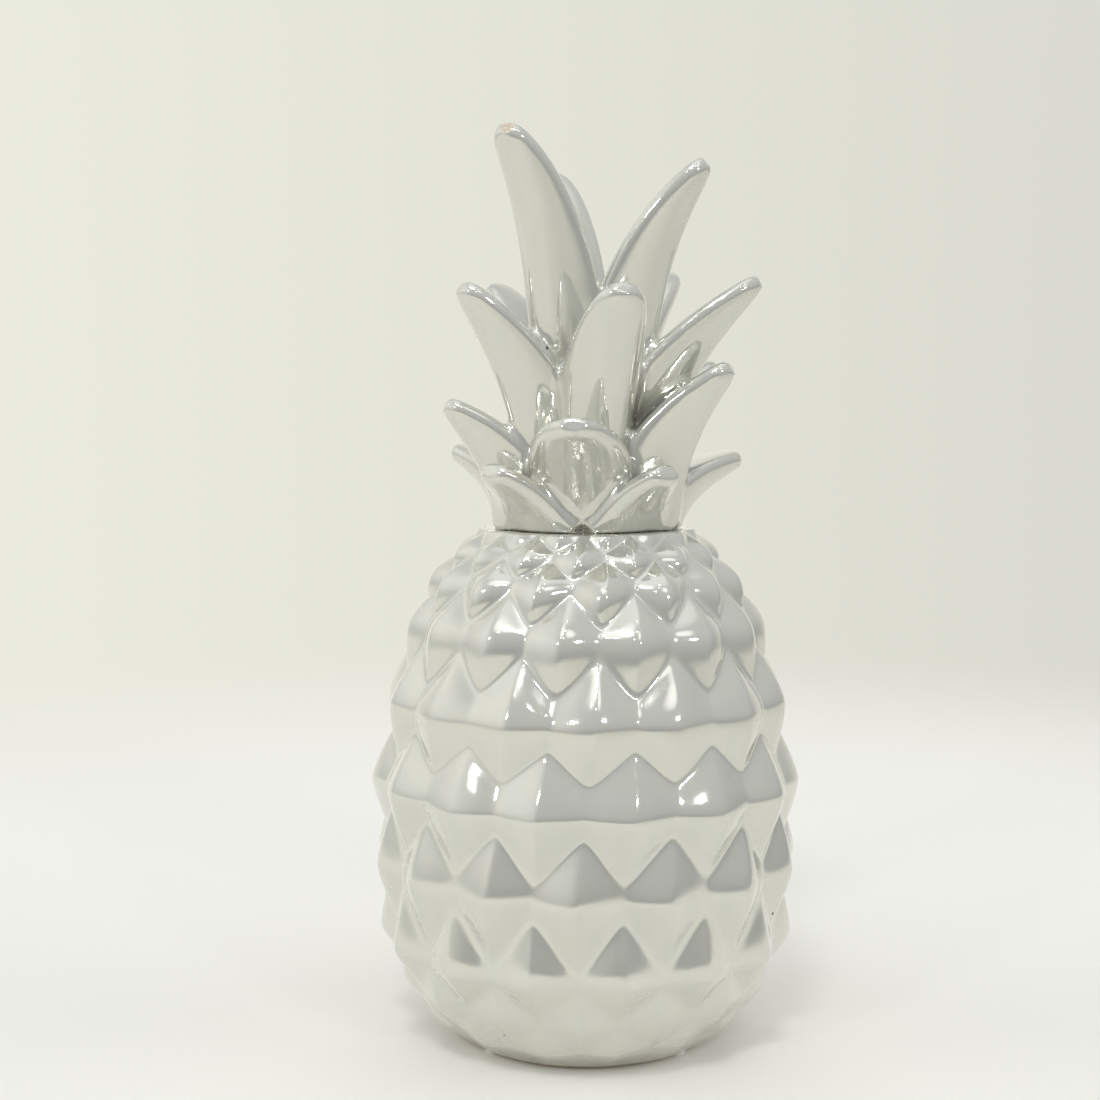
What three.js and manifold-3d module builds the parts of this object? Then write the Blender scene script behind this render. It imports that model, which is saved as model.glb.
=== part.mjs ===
// A hollow glazed ceramic coin bank in the shape of a pineapple.
// The body is a slip-cast shell, covered in rows of diamond pyramids, with a coin slot high on its back
// and a round hole in its base that a soft plug closes. The crown is a hollow stem set on the body's neck,
// with four tiers of cupped leaves luted to it one by one. The bank stands on four thin pads.
// Millimetres, +Z up, origin on the table under the middle of the body, front towards -Y.
import * as THREE from "three";
import { mergeVertices } from "three/addons/utils/BufferGeometryUtils.js";
import Module from "manifold-3d";

const wasm = await Module();
wasm.setup();

// Driving dimensions
const padThickness = 1.2;
const bodyHeight = 176.6; // from the foot ring to the neck
const bodyRadius = 69.7; // to the grooves between the diamonds, at the widest row
const reliefDepth = 7.4; // how far the largest diamonds stand out of the grooves
const wall = 5;
const diamondsRound = 15;
const rowTwist = 2.2; // degrees that each row above the widest turns against the one below
const firstBearing = 10; // degrees from the front to the first groove corner
const lutingGap = 0.3; // the slip line between two pieces of clay
const overrun = 5; // how far a cutting tool runs past what it cuts

// The body's rows of diamonds, from the foot to the neck: the height of their tips, the radius and relief
// there, and how high the ridge through a row's tips still stands midway between two of them
const rowHeightShares = [0, 0.041, 0.108, 0.195, 0.346, 0.507, 0.673, 0.808, 0.897, 0.952, 1];
const rowRadiusShares = [0.69, 0.827, 0.905, 0.965, 0.995, 1, 0.939, 0.838, 0.724, 0.598, 0.496];
const rowReliefShares = [0, 0.42, 0.56, 0.9, 1, 1, 0.95, 1.02, 0.95, 0.75, 0.35];
const rowSaddleShares = [0.06, 0.06, 0.06, 0.08, 0.09, 0.36, 0.4, 0.14, 0.1, 0.08, 0.06];
const firstTwistedRow = 4;
const ridgeSteps = 2; // mesh steps from a diamond's tip to its side
const ridgeDomeShare = 0.22; // how much of the relief rounds the ridge through a row's tips

// Foot, base plate and plug hole
const footRingWidth = 8;
const footRecessDepth = 4.3;
const holeRadius = 17;
const padRadius = 4;
const padCount = 4;

// Coin slot, cut level through the back of the shoulder
const slotLength = 40;
const slotHeight = 5;
const slotRise = 131; // from the foot ring to the middle of the slot

// Plug
const plugFlangeRadius = 21;
const plugFlangeThickness = 1.8;
const plugDepth = 11; // how far it reaches through the base plate
const plugClearance = 0.3;
const plugTaper = 0.6;
const plugWall = 2.6;
const pullBarWidth = 3;
const pullBarHeight = 7.5;

// Crown stem
const neckHoleRadius = 22;
const stemHeight = 80;
const stemWall = 5.5;
const stemHeightShares = [0, 0.14, 0.42, 0.75, 1];
const stemRadiusShares = [0.78, 0.7, 0.5, 0.32, 0.16];
const stemSides = 24;

// Leaf tiers, from the top down, so that each lower leaf is trimmed to the ones it leans on.
// Bearings are degrees from the front, positive to the right; rises are measured from the neck.
// A leaf is a fleshy blade: rounded rims, a shallow trough on its inner face and a deep keel on its outer one.
const topTier = {
  name: "top_leaf",
  bearings: [-42, 72, -162],
  rootRadius: 2,
  rootRise: 44,
  tipRise: 134,
  reach: 42,
  width: 25,
  keel: 18,
  tipRiseShares: [1, 0.93, 0.94],
  reachShares: [0.98, 1.02, 0.93],
  widthShares: [1, 0.88, 0.86],
  keelShares: [1, 1, 1],
  outShares: [0.15, 0.08, 0.1],
  upShares: [0.7, 0.63, 0.65],
  outlines: ["blade", "blade", "blade"],
};
const upperTier = {
  name: "upper_leaf",
  bearings: [-58, 15, 86, 145, -137],
  rootRadius: 5,
  rootRise: 24,
  tipRise: 86,
  reach: 60,
  width: 28,
  keel: 18,
  tipRiseShares: [0.96, 0.94, 0.995, 1.05, 1],
  reachShares: [0.82, 0.8, 1, 0.92, 0.84],
  widthShares: [0.88, 1, 0.97, 0.9, 0.9],
  keelShares: [1, 1, 1, 1, 1],
  outShares: [0.16, 0.2, 0.16, 0.16, 0.16],
  upShares: [0.55, 0.6, 0.6, 0.66, 0.6],
  outlines: ["blade", "blade", "blade", "blade", "blade"],
};
const middleTier = {
  name: "middle_leaf",
  bearings: [-74, -5, 70, 117, -150],
  rootRadius: 10,
  rootRise: 1,
  tipRise: 57,
  reach: 52,
  width: 32,
  keel: 20,
  tipRiseShares: [0.76, 0.65, 0.98, 1, 0.86],
  reachShares: [0.97, 0.95, 1.01, 1, 1],
  widthShares: [0.9, 1.08, 0.95, 0.9, 0.95],
  keelShares: [1, 0.6, 1, 1, 1],
  outShares: [0.12, 0.12, 0.12, 0.12, 0.12],
  upShares: [0.66, 0.7, 0.64, 0.66, 0.66],
  outlines: ["bract", "tongue", "bract", "bract", "bract"],
};
const baseTier = {
  name: "base_leaf",
  bearings: [-112, -46.5, 41, 106, 178],
  rootRadius: 17,
  rootRise: -5,
  tipRise: 26,
  reach: 57,
  width: 40,
  keel: 9,
  tipRiseShares: [1.02, 0.82, 0.8, 0.92, 0.95],
  reachShares: [0.89, 0.78, 0.74, 1, 0.95],
  widthShares: [1, 0.93, 0.93, 1, 1],
  keelShares: [1.25, 0.55, 0.55, 1.3, 1.3],
  outShares: [0.16, 0.3, 0.3, 0.16, 0.16],
  upShares: [0.85, 0.72, 0.72, 0.85, 0.85],
  outlines: ["bract", "fang", "fang", "bract", "bract"],
};
const leafRimThickness = 7.4;
const leafTrough = 1.5;
const leafSections = 11;
const leafSides = 12;
const leafWidthShares = {
  blade: [0.8, 0.92, 1, 1, 0.98, 0.93, 0.86, 0.77, 0.65, 0.48, 0.15],
  bract: [1.1, 1.08, 1, 0.93, 0.84, 0.75, 0.66, 0.58, 0.49, 0.38, 0.13],
  tongue: [0.85, 0.95, 1.02, 1.05, 1.03, 0.97, 0.88, 0.77, 0.62, 0.44, 0.15],
  fang: [0.98, 1, 0.92, 0.81, 0.71, 0.62, 0.54, 0.46, 0.38, 0.3, 0.13],
};
const sideCrowding = 2.2; // above 1 crowds a section's corners towards its round rims
const keelFullness = 1.8; // above 1 keeps a keel deep for longer on its way to the tip
const tipRoundShares = [1, 1, 1, 1, 1, 1, 1, 1, 0.98, 0.9, 0.55];

const neckZ = padThickness + bodyHeight;
const neckRadius = bodyRadius * rowRadiusShares.at(-1);
const recessZ = padThickness + footRecessDepth;
const floorZ = recessZ + wall;

const glaze = new THREE.MeshStandardMaterial({ color: 0xd5d7d1, roughness: 0.12, metalness: 0.15 });
const softPlastic = new THREE.MeshStandardMaterial({ color: 0xe6e4de, roughness: 0.5, metalness: 0 });
const felt = new THREE.MeshStandardMaterial({ color: 0xf0eeea, roughness: 0.95, metalness: 0 });

// A closed three.js geometry as a solid that can be joined and cut
function solidOf(geometry) {
  const bare = geometry.index ? geometry.toNonIndexed() : geometry.clone();
  const positions = new THREE.BufferGeometry();
  positions.setAttribute("position", bare.getAttribute("position"));
  const merged = mergeVertices(positions, 1e-4);
  return new wasm.Manifold(
    new wasm.Mesh({
      numProp: 3,
      vertProperties: merged.attributes.position.array,
      triVerts: new Uint32Array(merged.index.array),
    }),
  );
}

// A solid as a three.js geometry. Trimming can leave loose offcuts, so only the largest body is kept.
function geometryOf(solid) {
  const bodies = solid.decompose().sort((a, b) => b.volume() - a.volume());
  const mesh = bodies[0].getMesh();
  const positions = new Float32Array(mesh.numVert * 3);
  for (let i = 0; i < mesh.numVert; i++)
    positions.set(mesh.vertProperties.subarray(i * mesh.numProp, i * mesh.numProp + 3), i * 3);
  const geometry = new THREE.BufferGeometry();
  geometry.setAttribute("position", new THREE.BufferAttribute(positions, 3));
  geometry.setIndex(new THREE.BufferAttribute(mesh.triVerts, 1));
  geometry.computeVertexNormals();
  return geometry;
}

// A solid of revolution about +Z from [radius, height] points that start and end on the axis, bottom first
function turned(points, sides) {
  const profile = points.map(([radius, height]) => new THREE.Vector2(radius, height));
  return new THREE.LatheGeometry(profile, sides).rotateX(Math.PI / 2);
}

// A level cylinder between two heights, on the Z axis unless it is moved
function disc(radius, bottom, top, sides) {
  const outline = new THREE.Shape().absarc(0, 0, radius, 0, 2 * Math.PI);
  const made = new THREE.ExtrudeGeometry(outline, {
    depth: top - bottom,
    bevelEnabled: false,
    curveSegments: sides,
  });
  return made.translate(0, 0, bottom);
}

// Rings of points skinned into one closed solid, with a fan of triangles at each end
function skinned(rings) {
  const around = rings[0].length;
  const points = rings.flat();
  const first = points.length;
  const last = first + 1;
  const middle = (ring) =>
    ring.reduce((sum, p) => sum.add(p), new THREE.Vector3()).divideScalar(ring.length);
  points.push(middle(rings[0]), middle(rings.at(-1)));
  const faces = [];
  for (let j = 0; j + 1 < rings.length; j++)
    for (let i = 0; i < around; i++) {
      const a = j * around + i;
      const b = j * around + ((i + 1) % around);
      faces.push(a, b, b + around, a, b + around, a + around);
    }
  const end = (rings.length - 1) * around;
  for (let i = 0; i < around; i++) {
    const next = (i + 1) % around;
    faces.push(first, next, i, last, end + i, end + next);
  }
  const geometry = new THREE.BufferGeometry().setFromPoints(points);
  geometry.setIndex(faces);
  return geometry;
}

// Linear interpolation in a table of shares, at a position counted in rows
function between(shares, position) {
  const row = Math.min(Math.floor(position), shares.length - 2);
  return THREE.MathUtils.lerp(shares[row], shares[row + 1], position - row);
}

// How far a column is from the nearest diamond tip of a row: 0 at a tip, 1 midway between two.
// Columns count half diamonds, and the tips of one row stand over the middles of the next.
function fromTip(column, row) {
  return Math.abs(((column + row) % 2) - 1);
}

// The faceted outside of the body: a ridge through the tips of each row, and a zigzag groove between two rows
function bodyOutside() {
  const around = 2 * diamondsRound * ridgeSteps;
  const lastRow = rowHeightShares.length - 1;
  const rings = [];
  const addRing = (rowAt, reliefAt) => {
    const ring = [];
    for (let i = 0; i < around; i++) {
      const column = i / ridgeSteps;
      const row = rowAt(column);
      const twist = THREE.MathUtils.degToRad(rowTwist * Math.max(0, row - firstTwistedRow));
      const bearing = THREE.MathUtils.degToRad(firstBearing) + twist + (column * Math.PI) / diamondsRound;
      const radius = bodyRadius * between(rowRadiusShares, row) + reliefAt(column);
      const height = padThickness + bodyHeight * between(rowHeightShares, row);
      ring.push(new THREE.Vector3(radius * Math.sin(bearing), -radius * Math.cos(bearing), height));
    }
    rings.push(ring);
  };
  for (let row = 0; row <= lastRow; row++) {
    const saddle = rowSaddleShares[row];
    addRing(
      () => row,
      (column) => {
        const height = 1 - (1 - saddle) * fromTip(column, row);
        return reliefDepth * rowReliefShares[row] * (height + ridgeDomeShare * height * (1 - height));
      },
    );
    if (row === lastRow) break;
    // Where the facets that fall from the two ridges meet, under a tip of the lower row
    const meeting = (1 / (1 + saddle) + 1 / (1 + rowSaddleShares[row + 1])) / 2;
    addRing(
      (column) => row + THREE.MathUtils.lerp(meeting, 1 - meeting, fromTip(column, row)),
      () => 0,
    );
  }
  return skinned(rings);
}

// The hollow inside the body follows the grooves, a wall's thickness in
function bodyInside() {
  const profile = [[0, floorZ]];
  for (let row = 1; row < rowHeightShares.length; row++) {
    const height = padThickness + bodyHeight * rowHeightShares[row];
    const radius = bodyRadius * rowRadiusShares[row] - wall;
    if (height > floorZ && height < neckZ - wall) {
      if (profile.length === 1) profile.push([radius - wall, floorZ]);
      profile.push([radius, height]);
    }
  }
  profile.push([neckHoleRadius, neckZ - wall], [neckHoleRadius, neckZ + overrun], [0, neckZ + overrun]);
  return turned(profile, 2 * diamondsRound);
}

function coinSlotCutter() {
  const end = slotHeight / 2;
  const straight = slotLength / 2 - end;
  const outline = new THREE.Shape()
    .moveTo(-straight, -end)
    .lineTo(straight, -end)
    .absarc(straight, 0, end, -Math.PI / 2, Math.PI / 2)
    .lineTo(-straight, end)
    .absarc(-straight, 0, end, Math.PI / 2, (3 * Math.PI) / 2);
  const made = new THREE.ExtrudeGeometry(outline, {
    depth: bodyRadius + reliefDepth + overrun,
    bevelEnabled: false,
    curveSegments: 6,
  });
  return made.rotateX(-Math.PI / 2).translate(0, 0, padThickness + slotRise);
}

function bodyShell() {
  const recessRadius = bodyRadius * rowRadiusShares[0] - footRingWidth;
  return solidOf(bodyOutside())
    .subtract(solidOf(bodyInside()))
    .subtract(solidOf(coinSlotCutter()))
    .subtract(solidOf(disc(recessRadius, padThickness - overrun, recessZ, 24)))
    .subtract(solidOf(disc(holeRadius, recessZ - overrun, floorZ + overrun, 20)));
}

// The stem's outside, grown by a clearance when it is used to trim leaves
function stemOutside(grow) {
  const base = neckZ + lutingGap;
  const profile = [[0, base - grow]];
  stemHeightShares.forEach((share, i) => {
    const height = base + stemHeight * share - (i === 0 ? grow : 0);
    profile.push([neckRadius * stemRadiusShares[i] + grow, height]);
  });
  profile.push([0, base + stemHeight + grow]);
  return turned(profile, stemSides);
}

function crownStem() {
  const base = neckZ + lutingGap;
  const inside = [[0, base - overrun], [neckRadius * stemRadiusShares[0] - stemWall, base - overrun]];
  for (let i = 1; neckRadius * stemRadiusShares[i] > 2 * stemWall; i++)
    inside.push([neckRadius * stemRadiusShares[i] - stemWall, base + stemHeight * stemHeightShares[i]]);
  inside.push([0, inside.at(-1)[1]]);
  return solidOf(stemOutside(0)).subtract(solidOf(turned(inside, stemSides)));
}

// One leaf: its section is swept along the line between its rims, which leaves the stem and flares out.
function leaf(tier, index, grow) {
  const bearing = THREE.MathUtils.degToRad(tier.bearings[index]);
  const outward = new THREE.Vector3(Math.sin(bearing), -Math.cos(bearing), 0);
  const sideways = new THREE.Vector3(Math.cos(bearing), Math.sin(bearing), 0);
  const up = new THREE.Vector3(0, 0, 1);
  const place = (radius, rise) =>
    outward.clone().multiplyScalar(radius).addScaledVector(up, neckZ + rise);
  const tipRadius = tier.reach * tier.reachShares[index];
  const tipRise = tier.tipRise * tier.tipRiseShares[index];
  const centreline = new THREE.QuadraticBezierCurve3(
    place(tier.rootRadius, tier.rootRise),
    place(
      THREE.MathUtils.lerp(tier.rootRadius, tipRadius, tier.outShares[index]),
      THREE.MathUtils.lerp(tier.rootRise, tipRise, tier.upShares[index]),
    ),
    place(tipRadius, tipRise),
  );
  const outline = leafWidthShares[tier.outlines[index]];
  const width = tier.width * tier.widthShares[index];
  const rings = [];
  for (let s = 0; s < leafSections; s++) {
    const along = s / (leafSections - 1);
    // Sections crowd towards the tip, where the outline turns.
    const position = 1 - (1 - along) ** 1.4;
    const centre = centreline.getPoint(position);
    const ahead = centreline.getTangent(position);
    const inward = new THREE.Vector3().crossVectors(ahead, sideways);
    if (inward.dot(outward) > 0) inward.negate();
    const halfWidth = (width / 2) * outline[s];
    const rim = Math.min((leafRimThickness / 2) * tipRoundShares[s], halfWidth);
    const keel = tier.keel * tier.keelShares[index] * (1 - position ** keelFullness) * tipRoundShares[s];
    const trough = leafTrough * (1 - position);
    const ring = [];
    for (let k = 0; k < leafSides; k++) {
      const turn = (2 * Math.PI * k) / leafSides;
      const across = Math.cos(turn);
      const rise = Math.sin(turn);
      const spread = Math.sign(across) * (1 - (1 - Math.abs(across)) ** sideCrowding);
      const side = (halfWidth - rim) * spread + (rim + grow) * across;
      const bulge = 1 - Math.min(1, Math.abs(side) / halfWidth) ** 2;
      const depth = (rim + grow) * rise - (rise > 0 ? trough : keel) * bulge;
      ring.push(centre.clone().addScaledVector(sideways, side).addScaledVector(inward, depth));
    }
    rings.push(ring);
  }
  return skinned(rings);
}

function plug() {
  const flangeTop = recessZ - plugClearance;
  const flangeBottom = flangeTop - plugFlangeThickness;
  const top = recessZ + plugDepth;
  const shank = holeRadius - plugClearance;
  const hollow = shank - plugWall;
  const moulding = turned(
    [
      [0, flangeBottom],
      [plugFlangeRadius, flangeBottom],
      [plugFlangeRadius, flangeTop],
      [shank, flangeTop],
      [shank - plugTaper, top],
      [0, top],
    ],
    40,
  );
  const fingerHollow = disc(hollow - plugTaper, flangeBottom - overrun, top - plugWall, 10);
  const pullBar = new THREE.BoxGeometry(2 * hollow, pullBarWidth, pullBarHeight);
  pullBar.translate(0, 0, top - plugWall - pullBarHeight / 2 + plugWall / 2);
  return solidOf(moulding).subtract(solidOf(fingerHollow)).add(solidOf(pullBar));
}

const bank = new THREE.Group();

function addPiece(name, solid, material) {
  const mesh = new THREE.Mesh(geometryOf(solid), material);
  mesh.name = name;
  bank.add(mesh);
}

addPiece("body_shell", bodyShell(), glaze);
addPiece("crown_stem", crownStem(), glaze);

// Each leaf is trimmed to the stem, to the neck and to every leaf that was set before it.
const trimmers = [
  solidOf(stemOutside(lutingGap)),
  solidOf(disc(2 * bodyRadius, 0, neckZ + lutingGap, 12)),
];
for (const tier of [topTier, upperTier, middleTier, baseTier])
  tier.bearings.forEach((_, index) => {
    const trimmed = trimmers.reduce((solid, tool) => solid.subtract(tool), solidOf(leaf(tier, index, 0)));
    addPiece(`${tier.name}_${index + 1}`, trimmed, glaze);
    trimmers.push(solidOf(leaf(tier, index, lutingGap)));
  });

addPiece("base_plug", plug(), softPlastic);

const padRing = bodyRadius * rowRadiusShares[0] - footRingWidth / 2;
for (let i = 0; i < padCount; i++) {
  const bearing = (2 * Math.PI * (i + 0.5)) / padCount;
  const pad = disc(padRadius, 0, padThickness, 8);
  pad.translate(padRing * Math.cos(bearing), padRing * Math.sin(bearing), 0);
  addPiece(`foot_pad_${i + 1}`, solidOf(pad), felt);
}

export default bank;
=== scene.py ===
import math

import bpy
import numpy as np
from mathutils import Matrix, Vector, noise


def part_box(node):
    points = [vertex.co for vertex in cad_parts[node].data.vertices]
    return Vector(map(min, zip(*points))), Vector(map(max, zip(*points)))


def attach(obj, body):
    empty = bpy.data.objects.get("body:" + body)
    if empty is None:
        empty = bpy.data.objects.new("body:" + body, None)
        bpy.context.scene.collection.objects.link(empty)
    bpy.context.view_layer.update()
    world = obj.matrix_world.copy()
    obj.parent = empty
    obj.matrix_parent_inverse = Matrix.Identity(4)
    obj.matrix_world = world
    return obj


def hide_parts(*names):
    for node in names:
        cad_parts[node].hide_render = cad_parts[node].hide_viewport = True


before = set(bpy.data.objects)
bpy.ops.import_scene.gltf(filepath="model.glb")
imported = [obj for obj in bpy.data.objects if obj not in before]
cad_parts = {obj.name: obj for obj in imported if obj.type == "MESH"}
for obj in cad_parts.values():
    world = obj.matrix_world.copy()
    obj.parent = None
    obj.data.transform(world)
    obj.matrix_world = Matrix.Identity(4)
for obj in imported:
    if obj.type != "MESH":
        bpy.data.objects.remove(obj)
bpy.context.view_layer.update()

bl_info = {
    "name": "Pineapple Coin Bank",
    "version": (1, 0, 0),
    "blender": (4, 5, 0),
    "location": "View3D > Sidebar > Coin Bank",
    "description": "Glazes and finishes the packed coin bank: faceted body, leafy crown, plug, felt pads and stage",
    "category": "Object",
}

MM = 0.001
BODY_LOW, BODY_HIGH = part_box("body_shell")
PLUG_LOW, PLUG_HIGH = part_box("base_plug")
FOOT_Z = BODY_LOW.z
NECK_Z = BODY_HIGH.z
BODY_HEIGHT = NECK_Z - FOOT_Z

# The body's rows of diamonds, from the foot to the neck: those of the CAD part, with the upper ones slightly higher
ROW_HEIGHTS = np.array([0, 0.041, 0.108, 0.195, 0.346, 0.507, 0.673, 0.82, 0.912, 0.963, 1])
ROW_RADII = np.array([0.69, 0.827, 0.905, 0.965, 0.995, 1, 0.939, 0.838, 0.708, 0.59, 0.496])
ROW_RELIEFS = np.array([0, 0.42, 0.56, 1.04, 1, 1, 0.95, 0.88, 1.05, 1.0, 0.6])
ROW_SADDLES = np.array([0.06, 0.06, 0.06, 0.08, 0.09, 0.36, 0.4, 0.14, 0.1, 0.08, 0.06])
# How far the facets above and below each row's ridge bulge, from 0, flat, to 1, round
ROW_DOMES = np.array([0.2, 0.3, 0.4, 0.2, 0.4, 0.45, 0.8, 1.3, 1.3, 1.3, 0.9])
UNDER_DOMES = np.array([0.2, 0.3, 0.4, 0.4, 0.4, 0.45, 0.6, 0.3, 0.6, 0.9, 0.9])
# How softly the glaze rounds the ridge of each row and the groove above it
RIDGE_ROUNDING = np.array([1.5, 1.6, 1.5, 0.8, 0.8, 0.8, 1, 1.4, 1.4, 1.2, 1])
GROOVE_ROUNDING = np.array([1.4, 1.6, 1.6, 1.4, 1, 0.8, 0.8, 0.8, 0.8, 0.8, 0.8])
ROW_NUMBERS = np.arange(len(ROW_HEIGHTS))
LAST_ROW = len(ROW_HEIGHTS) - 1
DIAMONDS_ROUND = 15
FIRST_BEARING = 10  # degrees
ROW_TWIST = 2.2  # degrees for each row above the first twisted one
FIRST_TWISTED_ROW = 4
RIDGE_DOME = 0.22
TIP_SOFTNESS, SADDLE_SOFTNESS = 0.10, 0.12  # corners of the ridge line, in shares of half a diamond
ZIG_SOFTNESS, ZAG_SOFTNESS = 0.09, 0.17  # lower and upper corners of the groove line
ROW_UNEVENNESS = 0.35
RELIEF_SEED, HEIGHT_SEED = 11, 23
WOBBLE_SCALE, WOBBLE_DEPTH = 38, 0.00022
STEPS_ROUND = 10  # mesh steps across half a diamond
STEPS_UP = 4  # mesh steps from a ridge or groove to the middle of a facet
CROWDING_ROUND, CROWDING_UP = 0.8, 1.7
WELD = 0.000001
TOUCHING = 0.00001
EDGE_BEVEL = 0.0007
EDGE_REACH = 0.0006  # a vertex nearer to an edge than this is bevelled with it
CLAY_MARGIN, UNDERSIDE = 0.0001, 0.0004

# Leaf tiers, from the top down. Bearings are degrees from the front, positive to the right.
LEAF_TIERS = [
    {
        "name": "top_leaf", "root_radius": 2, "root_rise": 44, "tip_rise": 134, "reach": 42, "width": 25, "keel": 18,
        "bearings": [-42, 72, -162], "tip_rises": [1, 0.93, 0.94], "reaches": [0.98, 1.02, 0.93],
        "widths": [1, 0.88, 0.86], "keels": [1] * 3, "outs": [0.15, 0.08, 0.1], "ups": [0.7, 0.63, 0.65],
        "outlines": ["blade"] * 3,
    },
    {
        "name": "upper_leaf", "root_radius": 5, "root_rise": 24, "tip_rise": 86, "reach": 60, "width": 28, "keel": 18,
        "bearings": [-58, 15, 86, 145, -137], "tip_rises": [0.96, 0.94, 0.995, 1.05, 1],
        "reaches": [0.82, 0.8, 1, 0.92, 0.84], "widths": [0.88, 1, 0.97, 0.9, 0.9], "keels": [1] * 5,
        "outs": [0.16, 0.2, 0.16, 0.16, 0.16], "ups": [0.55, 0.6, 0.6, 0.66, 0.6],
        "outlines": ["blade"] * 5,
    },
    {
        "name": "middle_leaf", "root_radius": 10, "root_rise": 1, "tip_rise": 57, "reach": 52, "width": 32, "keel": 20,
        "bearings": [-74, -5, 70, 117, -150], "tip_rises": [0.76, 0.65, 0.98, 1, 0.86],
        "reaches": [0.97, 0.95, 1.01, 1, 1], "widths": [0.9, 1.08, 0.95, 0.9, 0.95], "keels": [1, 0.6, 1, 1, 1],
        "outs": [0.12] * 5, "ups": [0.66, 0.7, 0.64, 0.66, 0.66],
        "outlines": ["bract", "tongue", "bract", "bract", "bract"],
    },
    {
        "name": "base_leaf", "root_radius": 17, "root_rise": -5, "tip_rise": 26, "reach": 57, "width": 40, "keel": 9,
        "bearings": [-112, -46.5, 41, 106, 178], "tip_rises": [1.02, 0.82, 0.8, 0.92, 0.95],
        "reaches": [0.89, 0.78, 0.74, 1, 0.95], "widths": [1, 0.93, 0.93, 1, 1], "keels": [1.25, 0.55, 0.55, 1.3, 1.3],
        "outs": [0.16, 0.3, 0.3, 0.16, 0.16], "ups": [0.85, 0.72, 0.72, 0.85, 0.85],
        "outlines": ["bract", "fang", "fang", "bract", "bract"],
    },
]
LEAF_OUTLINES = {
    "blade": [0.8, 0.92, 1, 1, 0.98, 0.93, 0.86, 0.77, 0.65, 0.48, 0.15],
    "bract": [1.1, 1.08, 1, 0.93, 0.84, 0.75, 0.66, 0.58, 0.49, 0.38, 0.13],
    "tongue": [0.85, 0.95, 1.02, 1.05, 1.03, 0.97, 0.88, 0.77, 0.62, 0.44, 0.15],
    "fang": [0.98, 1, 0.92, 0.81, 0.71, 0.62, 0.54, 0.46, 0.38, 0.3, 0.13],
}
TIP_ROUNDING = [1, 1, 1, 1, 1, 1, 1, 1, 0.98, 0.9, 0.55]
LEAF_TROUGH = 1.5  # mm
KEEL_FULLNESS = 1.8
SECTION_FULLNESS = 2.2
TIP_CROWDING = 1.4
STEM_HEIGHTS = [0, 0.14, 0.42, 0.75, 1]
STEM_RADII = [0.78, 0.7, 0.5, 0.32, 0.16]
SAME_RING = 0.0001
FILLING, LETTING_OUT = 0.5, -0.52  # shares of a vertex's way to the middle of its neighbours
NOTCH_WIDTH, NOTCH_DEPTH = 10, 0.003  # degrees, metres
UNDERCUT = 1.5
CHIPS = [(0, 0, 0.0028), (1, 2, 0.0022)]  # tier, leaf and size
CHIP_SCALE, CHIP_RAGGEDNESS = 900, 0.0012
# Painted shade in the crown's creases: smoothing passes that find the hollows between the leaves
CREASE_SHADE_PASSES = 60
CREASE_SHADE_DEPTHS = (0.0004, 0.0018)  # where the painted crease shade begins and where it is darkest
TOOLED_BELOW = (0.040, 0.022)  # above the neck, where the tool marks begin and where they are deepest
PAD_INSET = 0.0006
FUR_SCALE, FUR_SHARE = 2200, 0.012

# Radii of the paper's rings. Inside the first it is open, so that the recess under the foot ring gets light from below.
FLOOR_RADII = (0.034, 0.06, 0.15, 0.4, 0.95)
# Name, degrees to the right of the front and up, distance, size, watts, and whether the glaze mirrors the lamp
LAMPS = [
    ("Front softbox", (-12, 56), 1.5, (0.24, 0.15), 3.5, True),
    ("Left lamp", (-38, 30), 1.6, (0.12, 0.12), 1.6, True),
    ("Right lamp", (36, 28), 1.6, (0.16, 0.09), 1.6, True),
    ("Small lamp 1", (-24, 47), 1.5, (0.05, 0.04), 0.1, True),
    ("Small lamp 2", (2, 44), 1.5, (0.05, 0.04), 0.1, True),
    ("Small lamp 3", (14, 58), 1.5, (0.05, 0.04), 0.1, True),
    ("Small lamp 4", (-34, 62), 1.5, (0.05, 0.04), 0.1, True),
    ("Small lamp 5", (26, 72), 1.5, (0.05, 0.04), 0.1, True),
    ("Front fill", (0, 20), 4.0, (4.0, 1.5), 9.0, False),
    ("Back fill", (180, 20), 4.0, (4.0, 1.5), 62.0, False),
    ("Left fill", (-90, 20), 4.0, (4.0, 1.5), 60.0, False),
    ("Right fill", (90, 20), 4.0, (4.0, 1.5), 64.0, False),
]
LAMP_AIM = Vector((0, 0, 0.12))
CAMERA_PLACE = (0, -0.600, 0.2254)
CAMERA_DOWN, CAMERA_LEFT = 5.29, 0.0210  # degrees, radians
CAMERA_LENS = 56.1
# How bright the mirrored room is, from the horizon, 0, to overhead, 1
ROOM_HORIZON, ROOM_OVERHEAD = (0.33, 0.335, 0.33), (1.05, 1.08, 1.1)
ROOM_LEVELS = ((0.06, 0.355), (0.15, 0.42), (0.35, 0.5), (0.65, 0.585), (0.88, 0.63), (0.96, 1.0))
ROOM_BLUE = 1.01
ROOM_LEFT, ROOM_RIGHT = (1.9, 1.9, 1.8), (1.0, 1.02, 1.0)
ROOM_UNMIRRORED = (0.66, 0.66, 0.66)
GLOWS = ((-24, 60, 17), (30, 50, 11))  # degrees to the right of the front, up, and across
GLOW_COLOUR = (1.5, 1.5, 1.48)


# Settings that a user would change


def length(name, description, default):
    return bpy.props.FloatProperty(name=name, description=description, default=default, unit="LENGTH")


def share_of_one(name, description, default):
    return bpy.props.FloatProperty(name=name, description=description, default=default, subtype="FACTOR")


def colour_of(name, description, default):
    return bpy.props.FloatVectorProperty(
        name=name, description=description, default=default, subtype="COLOR", min=0, max=1)


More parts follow.
